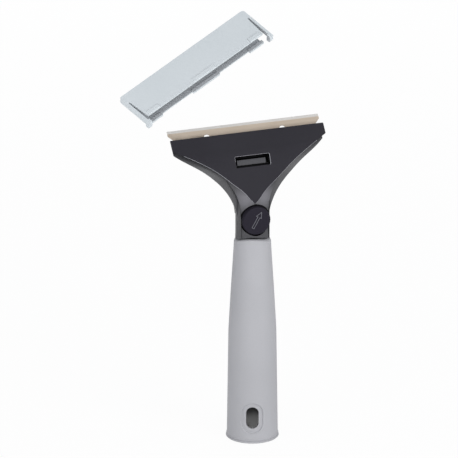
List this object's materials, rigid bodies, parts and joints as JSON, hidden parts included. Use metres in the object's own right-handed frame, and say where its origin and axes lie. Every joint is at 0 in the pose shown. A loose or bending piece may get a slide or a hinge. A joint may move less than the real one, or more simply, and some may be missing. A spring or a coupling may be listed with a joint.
{
  "type": "ceramic hob scraper",
  "caption": "Hand scraper with a wide steel blade clamped in a bent black head by a round knob, a hollow grey grip with a lock hole, and a slotted silver blade cover lying off the tool.",
  "frame": {"origin": "centre of the handle's open end, on the handle's axis", "axes": "+Z along the handle towards the head, -Y towards the side with the knob, X along the blade; the head bends towards +Y"},
  "size_m": [0.1406, 0.0576, 0.2726],
  "materials": {
    "head_black": "satin moulded",
    "plate_black": "satin moulded",
    "blade_steel": "ground",
    "knob_black": "satin moulded",
    "insert_brass": "turned",
    "washer_plastic": "smooth",
    "ring_steel": "stamped",
    "stud_steel": "turned",
    "core_plastic": "smooth moulded",
    "sleeve_grey": "fine matt",
    "pin_steel": "drawn",
    "cover_silver": "silver satin"
  },
  "bodies": {
    "handle": {"rear_jaw": "head_black", "handle_core": "core_plastic", "grip_sleeve": "sleeve_grey", "tang_pin": "pin_steel", "clamp_stud": "stud_steel"},
    "jaw": {"front_jaw": "plate_black", "thrust_washer": "washer_plastic"},
    "knob": {"clamp_knob": "knob_black", "knob_insert": "insert_brass", "retaining_ring": "ring_steel"},
    "scraper_blade": {"blade": "blade_steel"},
    "cover": {"blade_cover": "cover_silver"}
  },
  "joints": [
    {"name": "jaw_open", "type": "slide", "parent": "handle", "child": "jaw", "axis": [0, -1, 0], "range_m": [0, 0.0015]},
    {"name": "knob_turn", "type": "hinge", "parent": "jaw", "child": "knob", "pos_m": [0, -0.006, 0.1452], "axis": [0, -1, 0], "range_deg": [0, 270]},
    {"name": "blade_slide", "type": "slide", "parent": "handle", "child": "scraper_blade", "axis": [0, 0.6428, 0.766], "range_m": [0, 0.012]},
    {"name": "cover_slide", "type": "slide", "parent": "handle", "child": "cover", "axis": [-0.434, 0.8126, 0.389], "range_m": [0, 0.025]}
  ],
  "couplings": [
    {"joint": "knob_turn", "follows": "jaw_open", "rad_per_m": 3141.6}
  ]
}
